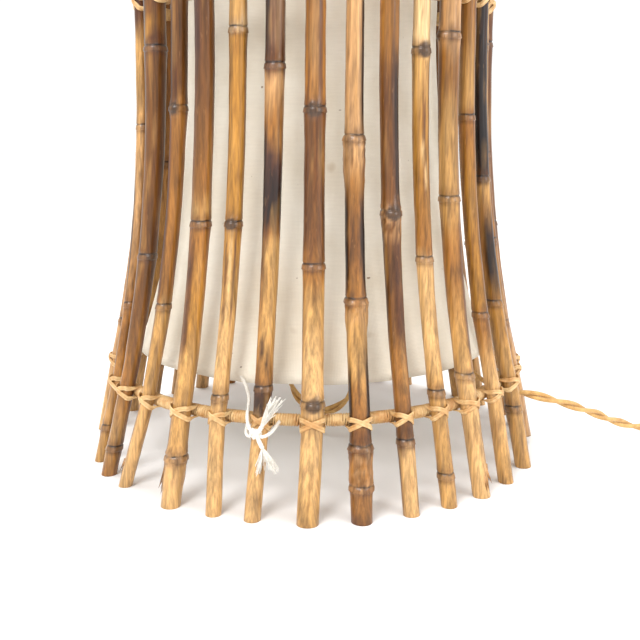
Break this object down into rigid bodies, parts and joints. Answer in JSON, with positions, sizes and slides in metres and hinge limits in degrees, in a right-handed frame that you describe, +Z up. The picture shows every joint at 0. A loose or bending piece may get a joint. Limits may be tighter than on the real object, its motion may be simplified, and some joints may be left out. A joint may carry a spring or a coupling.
{
  "type": "cane table lamp",
  "caption": "Waisted table lamp: a cage of flaring bamboo canes lashed to three hoops around a cream fabric diffuser on a wire frame, with a twisted flex and plug.",
  "frame": {"origin": "on the floor at the middle of the circle of cane feet", "axes": "+Z up along the lamp's axis, the front faces -Y, and the flex leaves towards +X"},
  "size_m": [0.5242, 0.3146, 0.578],
  "materials": {
    "cane_dark": "varnished dark scorched bamboo cane",
    "cane_amber": "varnished amber bamboo cane",
    "cane_pale": "varnished straw coloured bamboo cane",
    "hoop_cane": "dark bent rattan cane",
    "rattan_strip": "split rattan strip",
    "cotton_string": "white twisted cotton string",
    "linen": "cream linen weave with small flecks",
    "white_wire": "white coated steel wire",
    "black_bakelite": "moulded black bakelite",
    "nickel_cap": "nickel plated lamp cap",
    "frosted_glass": "frosted white glass",
    "gold_flex": "gold braided twisted flex",
    "gold_plug": "moulded gold coloured plug",
    "brass_pins": "plated contact pins"
  },
  "bodies": {
    "cage": {"cane_01": "cane_pale", "cane_02": "cane_dark", "cane_03": "cane_amber", "cane_04": "cane_amber", "cane_05": "cane_amber", "cane_06": "cane_dark", "cane_07": "cane_amber", "cane_08": "cane_pale", "cane_09": "cane_dark", "cane_10": "cane_amber", "cane_11": "cane_amber", "cane_12": "cane_amber", "cane_13": "cane_dark", "cane_14": "cane_pale", "cane_15": "cane_amber", "cane_16": "cane_amber", "cane_17": "cane_dark", "cane_18": "cane_amber", "cane_19": "cane_pale", "cane_20": "cane_amber", "cane_21": "cane_dark", "cane_22": "cane_amber", "cane_23": "cane_pale", "cane_24": "cane_dark", "cane_25": "cane_amber", "cane_26": "cane_amber", "cane_27": "cane_pale", "cane_28": "cane_dark", "cane_29": "cane_amber", "cane_30": "cane_amber", "cane_31": "cane_pale", "cane_32": "cane_dark", "cane_33": "cane_amber", "lower_hoop": "hoop_cane", "middle_hoop": "hoop_cane", "upper_hoop": "hoop_cane", "lower_binding": "rattan_strip", "middle_binding": "rattan_strip", "upper_binding": "rattan_strip", "shade_cloth": "linen", "shade_bottom_ring": "white_wire", "shade_middle_ring": "white_wire", "shade_top_ring": "white_wire", "shade_uprights": "white_wire", "holder_spider": "white_wire", "holder_body": "black_bakelite", "holder_ring": "black_bakelite", "cord_grip": "black_bakelite", "front_tie": "cotton_string", "rear_ties": "cotton_string", "top_ties": "cotton_string", "flex": "gold_flex", "flex_coil": "gold_flex", "coil_tie": "cotton_string", "plug_body": "gold_plug", "plug_pins": "brass_pins"},
    "bulb": {"bulb_cap": "nickel_cap", "bulb_glass": "frosted_glass"},
    "key": {"holder_key": "black_bakelite"}
  },
  "joints": [
    {"name": "bulb_out", "type": "slide", "parent": "cage", "child": "bulb", "axis": [0, 0, 1], "range_m": [0, 0.06]},
    {"name": "key_turn", "type": "hinge", "parent": "cage", "child": "key", "pos_m": [0, -0.019, 0.259], "axis": [0, -1, 0], "continuous": true}
  ]
}
